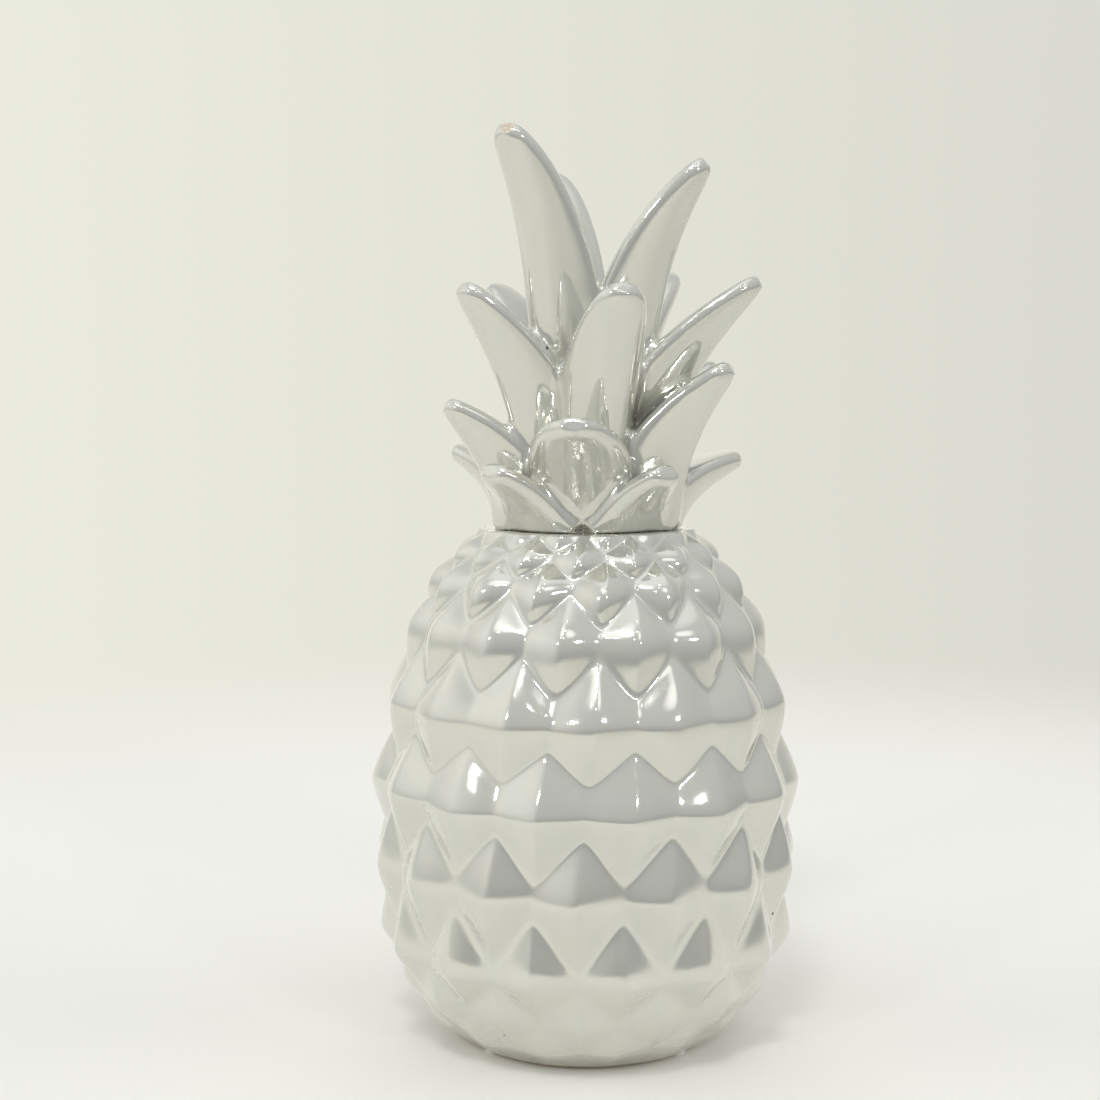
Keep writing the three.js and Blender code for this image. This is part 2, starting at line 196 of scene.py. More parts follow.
class BankBodySettings(bpy.types.PropertyGroup):
    """Sizes of the glazed body"""

    groove_radius: length("Groove radius", "Radius to the grooves at the widest row", 0.0697)
    relief: length("Relief", "How far the largest diamonds stand out", 0.0074)
    ridge_softness: length("Ridge softness", "Rounding of the ridges through the tips", 0.0030)
    groove_softness: length("Groove softness", "Rounding of the zigzag grooves", 0.0019)
    hand_variation: share_of_one("Hand variation", "Share by which diamonds differ from each other", 0.05)
    wall: length("Wall", "Thickness of the cast wall", 0.005)
    foot_ring: length("Foot ring", "Width of the ring it stands on", 0.008)
    recess: length("Recess", "Depth of the hollow inside the foot ring", 0.0043)
    hole_radius: length("Plug hole", "Radius of the hole in the base", 0.017)
    neck_hole: length("Neck hole", "Radius of the opening into the crown", 0.022)
    slot_length: length("Slot length", "Length of the coin slot", 0.040)
    slot_height: length("Slot height", "Height of the coin slot", 0.005)
    slot_rise: length("Slot rise", "From the foot ring to the middle of the slot", 0.131)
    slot_lip: length("Slot lip", "Rounding of the slot's edge", 0.0018)


class CrownSettings(bpy.types.PropertyGroup):
    """Sizes of the crown"""

    rim: length("Leaf rim", "Thickness of a leaf's rounded edge", 0.0074)
    stem_height: length("Stem height", "Height of the stem above the neck", 0.080)
    stem_wall: length("Stem wall", "Thickness of the hollow stem", 0.0055)
    seam: length("Seam", "Slip line between neck and crown", 0.0001)
    crease: length("Crease", "Height of the notch between two leaves' roots above the neck", 0.0030)
    root_rounding: length("Root rounding", "Rounding of the leaves' roots above the neck", 0.0010)
    clay_grain: length("Clay grain", "Size of the faces that the joined clay is remeshed with", 0.0009)
    fillet_passes: bpy.props.IntProperty(
        name="Fillet passes", description="How often the slip in the joints is smoothed", default=28)


class PlugSettings(bpy.types.PropertyGroup):
    """Sizes of the base plug"""

    flange: length("Flange", "Radius of the flange", 0.021)
    flange_thickness: length("Flange thickness", "Thickness of the flange", 0.0018)
    shank: length("Shank", "Radius of the shank", 0.0167)
    rib: length("Rib", "How far the sealing ribs stand out", 0.00028)
    wall: length("Wall", "Thickness of the moulding", 0.0026)
    bar_width: length("Grip bar width", "Thickness of the grip bar", 0.003)
    bar_height: length("Grip bar height", "Depth of the grip bar", 0.0075)


class FinishSettings(bpy.types.PropertyGroup):
    """Colours and finishes"""

    glaze: colour_of("Glaze", "Colour of the pearl glaze", (0.71, 0.705, 0.64))
    glaze_cool: colour_of("Cool streaks", "Colour of the lustre's cooler streaks", (0.66, 0.68, 0.645))
    # Painted shade that darkens the crown's creases between the leaves
    painted_crease_shade: colour_of("Painted crease shade", "Colour of the painted shade in the crown's creases", (0.24, 0.235, 0.20))
    # Pinholes are real glaze flaws; their near-black colour is painted shade inside each pit, which the mesh does not
    # model
    pinhole_shade: colour_of("Pinholes", "Colour inside the pinholes", (0.07, 0.06, 0.05))
    lustre: share_of_one("Lustre", "How metallic the pearl glaze looks", 0.68)
    clay: colour_of("Bare clay", "Colour of the unglazed clay", (0.66, 0.57, 0.45))
    vinyl: colour_of("Vinyl", "Colour of the plug", (0.78, 0.77, 0.73))
    felt: colour_of("Felt", "Colour of the pads", (0.84, 0.83, 0.79))
    floor: colour_of("Floor", "Colour of the paper it stands on", (0.88, 0.875, 0.825))
    backdrop: colour_of("Backdrop", "Pale colour behind the bank, on the left", (0.82, 0.82, 0.73))
    backdrop_shade: colour_of("Shaded backdrop", "Pale colour behind the bank, on the right", (0.70, 0.70, 0.63))
    table: colour_of("Table", "Colour of the table beyond the paper, as the glaze mirrors it", (0.89, 0.88, 0.80))


# Small helpers for modelling in edit mode


def active_object(name):
    """The object that an operator has just made, under its own name"""
    made = bpy.context.object
    made.name = name
    made.data.name = name
    return made


def deselect_all():
    for other in bpy.context.selected_objects:
        other.select_set(False)


def make_active(piece):
    deselect_all()
    piece.select_set(True)
    bpy.context.view_layer.objects.active = piece


def read_all(items, field, width=3, kind=float):
    """One field of all vertices, edges or faces, a row for each"""
    flat = np.empty(len(items) * width, kind)
    items.foreach_get(field, flat)
    return flat.reshape(-1, width)


def coordinates(piece):
    return read_all(piece.data.vertices, "co")


def set_coordinates(piece, points):
    piece.data.vertices.foreach_set("co", np.asarray(points, float).ravel())
    piece.data.update()


def from_axis(points):
    return np.hypot(points[:, 0], points[:, 1])


def turned_to(bearing, radius, height):
    """Places by their bearing from the front, radius and height"""
    return np.stack([radius * np.sin(bearing), -radius * np.cos(bearing), height], -1)


def noise_of(points, scale):
    return np.array([noise.noise(Vector(point) * scale) for point in points])


def edit_selected(piece, chosen=None):
    """Opens edit mode with the chosen vertices selected, or all of them"""
    if chosen is None:
        chosen = np.ones(len(piece.data.vertices), bool)
    make_active(piece)
    bpy.ops.object.mode_set(mode="EDIT")
    bpy.ops.mesh.select_mode(type="VERT")
    bpy.ops.mesh.select_all(action="DESELECT")
    bpy.ops.object.mode_set(mode="OBJECT")
    piece.data.vertices.foreach_set("select", np.asarray(chosen, bool))
    bpy.ops.object.mode_set(mode="EDIT")
    bpy.ops.mesh.select_mode(type="VERT")


def leave_edit():
    bpy.ops.object.mode_set(mode="OBJECT")


def edit(piece, chosen, operator, **settings):
    """Runs one edit-mode operator on the chosen vertices"""
    edit_selected(piece, chosen)
    operator(**settings)
    leave_edit()


def extrude_rings(profile, radius, height):
    """Extrudes the selected ring through [radius, height] steps, starting from its own radius and height"""
    for next_radius, next_height in profile:
        bpy.ops.mesh.extrude_region_move()
        bpy.ops.transform.resize(
            value=(next_radius / radius, next_radius / radius, 1), center_override=(0, 0, 0))
        bpy.ops.transform.translate(value=(0, 0, next_height - height))
        radius, height = next_radius, next_height


def turned_piece(name, vertices, radius, height, profile, fill="NGON"):
    """A disc, or an open ring, extruded through a profile's [radius, height] steps"""
    deselect_all()
    bpy.ops.mesh.primitive_circle_add(vertices=vertices, radius=radius, fill_type=fill, location=(0, 0, height))
    bpy.ops.object.transform_apply(location=True, rotation=False, scale=False)
    piece = active_object(name)
    edit_selected(piece)
    extrude_rings(profile, radius, height)
    leave_edit()
    return piece


def point_outwards(piece):
    edit_selected(piece)
    bpy.ops.mesh.remove_doubles(threshold=WELD)
    bpy.ops.mesh.normals_make_consistent(inside=False)
    leave_edit()


def apply_modifier(piece, kind, **settings):
    make_active(piece)
    modifier = piece.modifiers.new(kind.title(), kind)
    for key, value in settings.items():
        setattr(modifier, key, value)
    bpy.ops.object.modifier_apply(modifier=modifier.name)


def cut_with(piece, cutter, operation="DIFFERENCE"):
    apply_modifier(piece, "BOOLEAN", object=cutter, operation=operation, solver="MANIFOLD")
    bpy.data.objects.remove(cutter, do_unlink=True)


def shade(piece, degrees):
    make_active(piece)
    bpy.ops.object.shade_smooth_by_angle(angle=math.radians(degrees))


def finish_piece(piece, body, slot, *nodes):
    """Rides the piece on its CAD body, in place of the nodes that it stands for"""
    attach(piece, body)
    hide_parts(*nodes)


def store_mask(piece, name, values):
    """Keeps a value per vertex for the piece's material"""
    layer = piece.data.attributes.new(name, "FLOAT", "POINT")
    layer.data.foreach_set("value", np.asarray(values, np.float32))


def dress(piece, *materials):
    """Gives the piece its materials, in place of any that a cutting tool brought along"""
    piece.data.materials.clear()
    for material in materials:
        piece.data.materials.append(material)
    piece.data.polygons.foreach_set("material_index", np.zeros(len(piece.data.polygons), int))


def smooth_step(low, high, value):
    share = np.clip((value - low) / (high - low), 0, 1)
    return share * share * (3 - 2 * share)


# Materials


def fill_sockets(tree, node, values):
    """Links or sets a node's own input sockets"""
    for key, value in values.items():
        if isinstance(value, bpy.types.NodeSocket):
            tree.links.new(value, node.inputs[key])
        else:
            node.inputs[key].default_value = value


def add_node(tree, kind, inputs=None, **settings):
    """Adds a node, laid out in rows, with its settings and with its inputs linked or set"""
    row, column = divmod(len(tree.nodes), 6)
    made = tree.nodes.new(kind)
    made.location = (240 * column, -320 * row)
    for key, value in settings.items():
        setattr(made, key, value)
    fill_sockets(tree, made, inputs or {})
    return made


def calculate(tree, operation, *values):
    return add_node(tree, "ShaderNodeMath", dict(enumerate(values)), operation=operation).outputs[0]


def calculate_vector(tree, operation, *values):
    return add_node(tree, "ShaderNodeVectorMath", dict(enumerate(values)), operation=operation).outputs


def map_range(tree, value, low, high, start=0.0, end=1.0, soft=False):
    """A number from start to end, as the value goes from low to high"""
    return add_node(
        tree, "ShaderNodeMapRange",
        {"Value": value, "From Min": low, "From Max": high, "To Min": start, "To Max": end},
        interpolation_type="SMOOTHSTEP" if soft else "LINEAR").outputs[0]


def mix_colours(tree, share, first, second, blend="MIX"):
    """Mixes two colours. The numbers of the sockets are those of the node's colour mode."""
    first, second = (
        colour if isinstance(colour, bpy.types.NodeSocket) else (*colour, 1) for colour in (first, second))
    return add_node(
        tree, "ShaderNodeMix", {0: share, 6: first, 7: second}, data_type="RGBA", blend_type=blend).outputs[2]


def object_place(tree):
    return add_node(tree, "ShaderNodeTexCoord").outputs["Object"]


def noise_at(tree, place, scale, detail, roughness=0.5):
    return add_node(
        tree, "ShaderNodeTexNoise",
        {"Vector": place, "Scale": scale, "Detail": detail, "Roughness": roughness}).outputs["Fac"]


def stored_mask(tree, name):
    """A value that store_mask has kept on the piece"""
    return add_node(tree, "ShaderNodeAttribute", attribute_name=name).outputs["Fac"]


def start_group(name, inputs, outputs):
    """An empty node group with number sockets, what it is given and what it gives out"""
    tree = bpy.data.node_groups.new(name, "ShaderNodeTree")
    for label, default in inputs.items():
        tree.interface.new_socket(label, in_out="INPUT", socket_type="NodeSocketFloat").default_value = default
    for label in outputs:
        tree.interface.new_socket(label, in_out="OUTPUT", socket_type="NodeSocketFloat")
    return tree, add_node(tree, "NodeGroupInput").outputs, add_node(tree, "NodeGroupOutput").inputs


def use_group(tree, name, build, inputs):
    """The outputs of a shared node group, which is built when it is first used"""
    group = bpy.data.node_groups.get(name) or build(name)
    return add_node(tree, "ShaderNodeGroup", inputs, node_tree=group).outputs


def build_streaks(name):
    """Faint upright streaks, as the lustre runs in the kiln"""
    tree, given, out = start_group(name, {"Scale": 60.0, "Stretch": 0.12}, ["Streaks"])
    squeeze = add_node(tree, "ShaderNodeCombineXYZ", {"X": 1.0, "Y": 1.0, "Z": given["Stretch"]})
    stretched = calculate_vector(tree, "MULTIPLY", object_place(tree), squeeze.outputs[0])[0]
    fine = noise_at(tree, stretched, given["Scale"], 4.0, 0.6)
    tree.links.new(map_range(tree, fine, 0.35, 0.68), out["Streaks"])
    return tree


def build_pinholes(name):
    """A mask of sparse pinholes that burst in the glaze"""
    tree, given, out = start_group(name, {"Spacing": 90.0, "Size": 0.06, "Rarity": 0.93}, ["Mask"])
    cells = add_node(
        tree, "ShaderNodeTexVoronoi", {"Vector": object_place(tree), "Scale": given["Spacing"]}, feature="F1").outputs
    chance = add_node(tree, "ShaderNodeSeparateColor", {"Color": cells["Color"]}).outputs["Red"]
    near = calculate(tree, "LESS_THAN", cells["Distance"], given["Size"])
    rare = calculate(tree, "GREATER_THAN", chance, given["Rarity"])
    tree.links.new(calculate(tree, "MULTIPLY", near, rare), out["Mask"])
    return tree


def build_ripple(name):
    """The slow ripple and fine peel of a glaze surface, as a height"""
    tree, given, out = start_group(name, {"Slow scale": 35.0, "Fine scale": 420.0, "Fine share": 0.12}, ["Height"])
    place = object_place(tree)
    slow = noise_at(tree, place, given["Slow scale"], 1.0)
    fine = noise_at(tree, place, given["Fine scale"], 2.0)
    peel = calculate(tree, "MULTIPLY", fine, given["Fine share"])
    tree.links.new(calculate(tree, "ADD", slow, peel), out["Height"])
    return tree


def build_grain(name):
    """The grain of bare clay, vinyl, felt or paper, as a value round 0.5 and as a height"""
    tree, given, out = start_group(name, {"Scale": 600.0, "Contrast": 0.5}, ["Value", "Height"])
    grain = noise_at(tree, object_place(tree), given["Scale"], 5.0, 0.65)
    spread = calculate(tree, "MULTIPLY", calculate(tree, "SUBTRACT", grain, 0.5), given["Contrast"])
    tree.links.new(calculate(tree, "ADD", spread, 0.5), out["Value"])
    tree.links.new(grain, out["Height"])
    return tree


def new_material(name):
    material = bpy.data.materials.new(name)
    material.use_nodes = True
    tree = material.node_tree
    tree.nodes.clear()
    shader = add_node(tree, "ShaderNodeBsdfPrincipled")
    add_node(tree, "ShaderNodeOutputMaterial", {"Surface": shader.outputs[0]})
    return material, tree, shader


def pearl_glaze(finish):
    """The pearl lustre glaze of body and crown, with its streaks, pinholes, tool marks and chipped tips, and painted
    shade in the crown's creases and inside the pinholes
    """
    known = bpy.data.materials.get("Pearl glaze")
    if known:
        return known
    material, tree, shader = new_material("Pearl glaze")
    streaks = use_group(tree, "Lustre streaks", build_streaks, {"Scale": 170.0, "Stretch": 0.10})["Streaks"]
    marks = use_group(tree, "Lustre streaks", build_streaks, {"Scale": 620.0, "Stretch": 0.07})["Streaks"]
    holes = use_group(tree, "Pinholes", build_pinholes, {"Spacing": 77.0, "Size": 0.045, "Rarity": 0.93})["Mask"]
    ripple = use_group(
        tree, "Glaze ripple", build_ripple, {"Slow scale": 38.0, "Fine scale": 520.0, "Fine share": 0.05})["Height"]
    chipped = stored_mask(tree, "chip")
    colour = mix_colours(tree, calculate(tree, "MULTIPLY", streaks, 0.55), finish.glaze, finish.glaze_cool)
    # Painted shade darkens the crown's creases and the inside of each pinhole; chipped tips show the bare clay
    for mask, over in (
            (stored_mask(tree, "painted_crease_shade"), finish.painted_crease_shade), (holes, finish.pinhole_shade), (chipped, finish.clay)):
        colour = mix_colours(tree, mask, colour, over)
    worn = calculate(tree, "MAXIMUM", holes, chipped)
    brushed = calculate(tree, "MULTIPLY", marks, stored_mask(tree, "tooled"))
    height = calculate(tree, "MULTIPLY_ADD", brushed, 0.25, ripple)
    bump = add_node(tree, "ShaderNodeBump", {"Height": height, "Strength": 0.25, "Distance": 0.0006})
    fill_sockets(tree, shader, {
        "Base Color": colour,
        "Metallic": map_range(tree, worn, 0.0, 1.0, finish.lustre, 0.0),
        "Roughness": map_range(tree, worn, 0.0, 1.0, 0.075, 0.8),
        "Normal": bump.outputs[0],
        "Coat Weight": 0.6,
        "Coat Roughness": 0.03,
        "IOR": 1.52,
    })
    return material


def grained_material(name, colour, dark_share, rough, grain_scale, depth, sheen=0.0):
    """A matt material with its own grain: bare clay, vinyl or felt"""
    material, tree, shader = new_material(name)
    grain = use_group(tree, "Material grain", build_grain, {"Scale": grain_scale, "Contrast": 0.9})
    bump = add_node(tree, "ShaderNodeBump", {"Height": grain["Height"], "Strength": 0.5, "Distance": depth})
    darker = [channel * dark_share for channel in colour]
    fill_sockets(tree, shader, {
        "Base Color": mix_colours(tree, grain["Value"], darker, colour),
        "Roughness": map_range(tree, grain["Value"], 0.0, 1.0, rough - 0.05, min(1.0, rough + 0.05)),
        "Normal": bump.outputs[0],
        "Sheen Weight": sheen,
    })
    return material


# The glazed body


def soft_triangle(distance, tip_softness, side_softness):
    """A triangle wave from 0 at a tip to 1 between two, with both corners rounded"""
    side = 1 - distance
    at_tip = np.sqrt(distance**2 + tip_softness**2) - distance
    at_side = np.sqrt(side**2 + side_softness**2) - side
    return distance + at_tip - at_side


def share_of_height(row):
    """How far up the body a row is, or a place between two rows"""
    return np.interp(row, ROW_NUMBERS, ROW_HEIGHTS)


def row_at(height):
    return np.interp((height - FOOT_Z) / BODY_HEIGHT, ROW_HEIGHTS, ROW_NUMBERS)


def hand_factors(seed, spread):
    """One factor for each diamond of each row, as hand finishing leaves them"""
    chooser = np.random.default_rng(seed)
    return 1 + spread * chooser.uniform(-1, 1, (len(ROW_HEIGHTS), DIAMONDS_ROUND))


class FacetedBody:
    """The outside of the body: a ridge through the tips of each row, and a zigzag groove between two rows"""

    def __init__(self, sizes):
        self.sizes = sizes
        self.relief_factors = hand_factors(RELIEF_SEED, sizes.hand_variation)
        self.height_factors = hand_factors(HEIGHT_SEED, sizes.hand_variation) - 1

    def of_diamond(self, factors, row, column):
        """A factor that passes smoothly from each diamond of a row to the next"""
        signed = np.mod(column + row, 2) - 1
        tip = column - signed
        own = np.mod(np.round((tip - np.mod(row + 1, 2)) / 2).astype(int), DIAMONDS_ROUND)
        other = np.mod(own + np.where(signed >= 0, 1, -1), DIAMONDS_ROUND)
        weight = 0.5 * smooth_step(0, 1, np.abs(signed))
        return factors[row][own] * (1 - weight) + factors[row][other] * weight

    def nodes(self, column):
        """Row position, height, radius and softness of every ridge, facet middle and groove above a column"""
        column = np.asarray(column, float)
        sizes = self.sizes
        rows, radii, softness, bulges = [], [], [], []
        for row in ROW_NUMBERS:
            distance = np.abs(np.mod(column + row, 2) - 1)
            share = soft_triangle(distance, TIP_SOFTNESS, SADDLE_SOFTNESS)
            saddle = ROW_SADDLES[row]
            height = 1 - (1 - saddle) * share
            stand = ROW_RELIEFS[row] * (height + RIDGE_DOME * height * (1 - height))
            stand = stand * self.of_diamond(self.relief_factors, row, column)
            uneven = ROW_UNEVENNESS * self.of_diamond(self.height_factors, row, column)
            rows.append(row + uneven * (0 < row < LAST_ROW))
            radii.append(sizes.groove_radius * ROW_RADII[row] + sizes.relief * stand)
            softness.append(np.full_like(column, sizes.ridge_softness * RIDGE_ROUNDING[row]))
            lift = sizes.relief * stand / 4
            bulges += [UNDER_DOMES[row] * lift, ROW_DOMES[row] * lift]
            if row < LAST_ROW:
                meeting = (1 / (1 + saddle) + 1 / (1 + ROW_SADDLES[row + 1])) / 2
                share = soft_triangle(distance, ZIG_SOFTNESS, ZAG_SOFTNESS)
                position = row + meeting + (1 - 2 * meeting) * share
                rows.append(position)
                radii.append(sizes.groove_radius * np.interp(position, ROW_NUMBERS, ROW_RADII))
                softness.append(np.full_like(column, sizes.groove_softness * GROOVE_ROUNDING[row]))
        # Between each ridge and groove a middle node lifts the facet into a shallow dome.
        full_rows, full_radii, full_softness = [rows[0]], [radii[0]], [softness[0]]
        for place in range(1, len(rows)):
            low, high = rows[place - 1], rows[place]
            full_rows += [(low + high) / 2, high]
            full_radii += [(radii[place - 1] + radii[place]) / 2 + bulges[place], radii[place]]
            facet = BODY_HEIGHT * (share_of_height(high) - share_of_height(low))
            full_softness += [facet * 0.3, softness[place]]
        rows = np.stack(full_rows, -1)
        heights = FOOT_Z + BODY_HEIGHT * share_of_height(rows)
        return rows, heights, np.stack(full_radii, -1), np.stack(full_softness, -1)

    def twist(self, row):
        return ROW_TWIST * np.maximum(0, row - FIRST_TWISTED_ROW)

    def bearing(self, column, row):
        return np.radians(FIRST_BEARING + self.twist(row) + column * 180 / DIAMONDS_ROUND)

    def column(self, bearing, height):
        """The column that passes a place on the surface"""
        turned = np.degrees(bearing) - FIRST_BEARING - self.twist(row_at(height))
        return np.mod(turned * DIAMONDS_ROUND / 180, 2 * DIAMONDS_ROUND)

    def radius(self, column, height):
        """Radius of the glazed surface at a height above a column: straight facets with every corner rounded"""
        _, heights, radii, softness = self.nodes(column)
        slopes = np.diff(radii, axis=1) / np.diff(heights, axis=1)
        offsets = height[:, None] - heights
        place = np.clip((offsets >= 0).sum(1) - 1, 0, slopes.shape[1] - 1)
        pick = np.arange(len(height))
        straight = radii[pick, place] + slopes[pick, place] * offsets[pick, place]
        turns = np.diff(slopes, axis=1)
        inner = offsets[:, 1:-1]
        rounding = np.sqrt(inner**2 + softness[:, 1:-1] ** 2) - np.abs(inner)
        return straight + (turns * rounding).sum(1) / 2


def slot_distance(sizes, points):
    """Distance of a place on the back from the coin slot's outline, below 0 inside it"""
    end = sizes.slot_height / 2
    reach = sizes.slot_length / 2 - end
    beyond = np.maximum(0, np.abs(points[:, 0]) - reach)
    return np.hypot(beyond, points[:, 2] - FOOT_Z - sizes.slot_rise) - end


def on_glaze(body, points, wobble):
    """Moves points, by their bearing and height, onto the glazed surface"""
    sizes = body.sizes
    bearing = np.arctan2(points[:, 0], -points[:, 1])
    height = points[:, 2]
    radius = body.radius(body.column(bearing, height), height) + wobble
    placed = turned_to(bearing, radius, height)
    lip = sizes.slot_lip
    reach = np.clip(slot_distance(sizes, placed), 0, lip)
    inset = np.where(placed[:, 1] > 0, lip - np.sqrt(lip**2 - (lip - reach) ** 2), 0)
    share = (radius - inset) / radius
    placed[:, :2] *= share[:, None]
    return placed


def eased(share, crowding):
    """Steps that crowd towards both ends"""
    return share - crowding * np.sin(2 * math.pi * share) / (2 * math.pi)


class COINBANK_OT_body(bpy.types.Operator):
    """Models the hollow glazed body with its diamonds, foot ring, plug hole and coin slot"""

    bl_idname = "coinbank.body"
    bl_label = "Glazed body"

    def execute(self, context):
        sizes = context.scene.bank_body
        finish = context.scene.bank_finish
        piece = self.outside(sizes)
        self.inside(piece, sizes)
        point_outwards(piece)
        cut_with(piece, self.slot_cutter(sizes))
        clay = grained_material(
            "Bare clay", finish.clay, dark_share=0.78, rough=0.85, grain_scale=900.0, depth=0.0002)
        dress(piece, pearl_glaze(finish), clay)
        self.leave_clay_bare(piece, sizes)
        shade(piece, 50)
        finish_piece(piece, "bank", "pearl_glaze", "body_shell")
        return {"FINISHED"}

    def outside(self, sizes):
        """A flat grid wrapped round the body, its lines crowded where the surface turns"""
        body = FacetedBody(sizes)
        steps_round = 2 * DIAMONDS_ROUND * STEPS_ROUND
        intervals = 4 * LAST_ROW
        steps_up = intervals * STEPS_UP
        deselect_all()
        bpy.ops.mesh.primitive_grid_add(x_subdivisions=steps_round, y_subdivisions=steps_up, size=1)
        piece = active_object("glazed_body")
        flat = coordinates(piece) + 0.5
        across = np.round(flat[:, 0] * steps_round)
        up = np.round(flat[:, 1] * steps_up)
        column = across // STEPS_ROUND + eased(np.mod(across, STEPS_ROUND) / STEPS_ROUND, CROWDING_ROUND)
        rows, heights, _, _ = body.nodes(column)
        interval = np.minimum(up // STEPS_UP, intervals - 1).astype(int)
        share = up / STEPS_UP - interval
        share = np.where(interval % 2 == 0, share**CROWDING_UP, 1 - (1 - share) ** CROWDING_UP)
        pick = np.arange(len(column))
        height = heights[pick, interval] * (1 - share) + heights[pick, interval + 1] * share
        row = rows[pick, interval] * (1 - share) + rows[pick, interval + 1] * share
        bearing = body.bearing(column, row)
        radius = body.radius(column, height)
        set_coordinates(piece, on_glaze(body, turned_to(bearing, radius, height), 0))

        # The wrapped grid's two edges become one seam, and the slot's surroundings get finer faces.
        edit(piece, None, bpy.ops.mesh.remove_doubles, threshold=WELD)
        points = coordinates(piece)
        near_slot = (points[:, 1] > 0) & (slot_distance(sizes, points) < sizes.slot_height)
        edit(piece, near_slot, bpy.ops.mesh.subdivide, number_cuts=3)
        points = coordinates(piece)
        set_coordinates(piece, on_glaze(body, points, noise_of(points, WOBBLE_SCALE) * WOBBLE_DEPTH))
        return piece

    def inside(self, piece, sizes):
        """Foot ring, recess, base plate, wall and neck, extruded ring by ring from the lower edge"""
        foot_radius = sizes.groove_radius * ROW_RADII[0]
        neck_radius = sizes.groove_radius * ROW_RADII[-1]
        recess_radius = foot_radius - sizes.foot_ring
        recess_z = FOOT_Z + sizes.recess
        floor_z = recess_z + sizes.wall
        wall = [
            (sizes.groove_radius * share - sizes.wall, FOOT_Z + BODY_HEIGHT * rise)
            for share, rise in zip(ROW_RADII, ROW_HEIGHTS)
            if floor_z < FOOT_Z + BODY_HEIGHT * rise < NECK_Z - sizes.wall
        ]
        profile = [
            (recess_radius, FOOT_Z),
            (recess_radius, recess_z),
            (sizes.hole_radius, recess_z),
            (sizes.hole_radius, floor_z),
            (wall[0][0] - sizes.wall, floor_z),
            *wall,
            (sizes.neck_hole, NECK_Z - sizes.wall),
            (sizes.neck_hole, NECK_Z),
        ]
        edit_selected(piece, coordinates(piece)[:, 2] < FOOT_Z + WELD)
        extrude_rings(profile, foot_radius, FOOT_Z)
        leave_edit()
        edit(piece, coordinates(piece)[:, 2] > NECK_Z - WELD, bpy.ops.mesh.bridge_edge_loops)
        points = coordinates(piece)
        radii = from_axis(points)
        chosen = (points[:, 2] > NECK_Z - TOUCHING) & (radii > neck_radius - EDGE_REACH)
        for radius, height in ((foot_radius, FOOT_Z), (recess_radius, FOOT_Z), (sizes.hole_radius, recess_z)):
            chosen |= (np.abs(radii - radius) < EDGE_REACH) & (np.abs(points[:, 2] - height) < TOUCHING)
        edit(piece, chosen, bpy.ops.mesh.bevel, offset=EDGE_BEVEL, segments=3, affect="EDGES")

    def slot_cutter(self, sizes):
        """A stadium-shaped bar through the back wall"""
        deselect_all()
        end = sizes.slot_height / 2
        bpy.ops.mesh.primitive_circle_add(
            vertices=48, radius=end, fill_type="NGON", location=(0, 0, 0), rotation=(math.pi / 2, 0, 0))
        bpy.ops.object.transform_apply(location=False, rotation=True, scale=False)
        cutter = active_object("slot_cutter")
        points = coordinates(cutter)
        points[:, 0] += np.sign(np.round(points[:, 0], 7)) * (sizes.slot_length / 2 - end)
        points[:, 1] = 0.03
        points[:, 2] += FOOT_Z + sizes.slot_rise
        set_coordinates(cutter, points)
        edit(cutter, None, bpy.ops.mesh.extrude_region_move, TRANSFORM_OT_translate={"value": (0, 0.08, 0)})
        point_outwards(cutter)
        return cutter

    def leave_clay_bare(self, piece, sizes):
        """The foot ring's underside and the inside stay unglazed"""
        centres = read_all(piece.data.polygons, "center")
        radii, heights = from_axis(centres), centres[:, 2]
        wall = np.interp((heights - FOOT_Z) / BODY_HEIGHT, ROW_HEIGHTS, ROW_RADII) * sizes.groove_radius
        inside = (radii < wall - sizes.wall * 0.7) & (heights > FOOT_Z + sizes.recess + sizes.wall - CLAY_MARGIN)
        inside &= heights < NECK_Z - CLAY_MARGIN
        underside = heights < FOOT_Z + UNDERSIDE
        piece.data.polygons.foreach_set("material_index", (inside | underside).astype(int))


# The crown


def leaf_name(tier, index):
    return f"{tier['name']}_{index + 1}"


def spline_through(shares, along):
    """A smooth curve through evenly spaced shares"""
    shares = np.asarray(shares, float)
    padded = np.concatenate([[2 * shares[0] - shares[1]], shares, [2 * shares[-1] - shares[-2]]])
    position = np.clip(along, 0, 1) * (len(shares) - 1)
    step = np.minimum(position.astype(int), len(shares) - 2)
    t = position - step
    a, b, c, d = padded[step], padded[step + 1], padded[step + 2], padded[step + 3]
    return b + 0.5 * t * (c - a + t * (2 * a - 5 * b + 4 * c - d + t * (3 * (b - c) + d - a)))


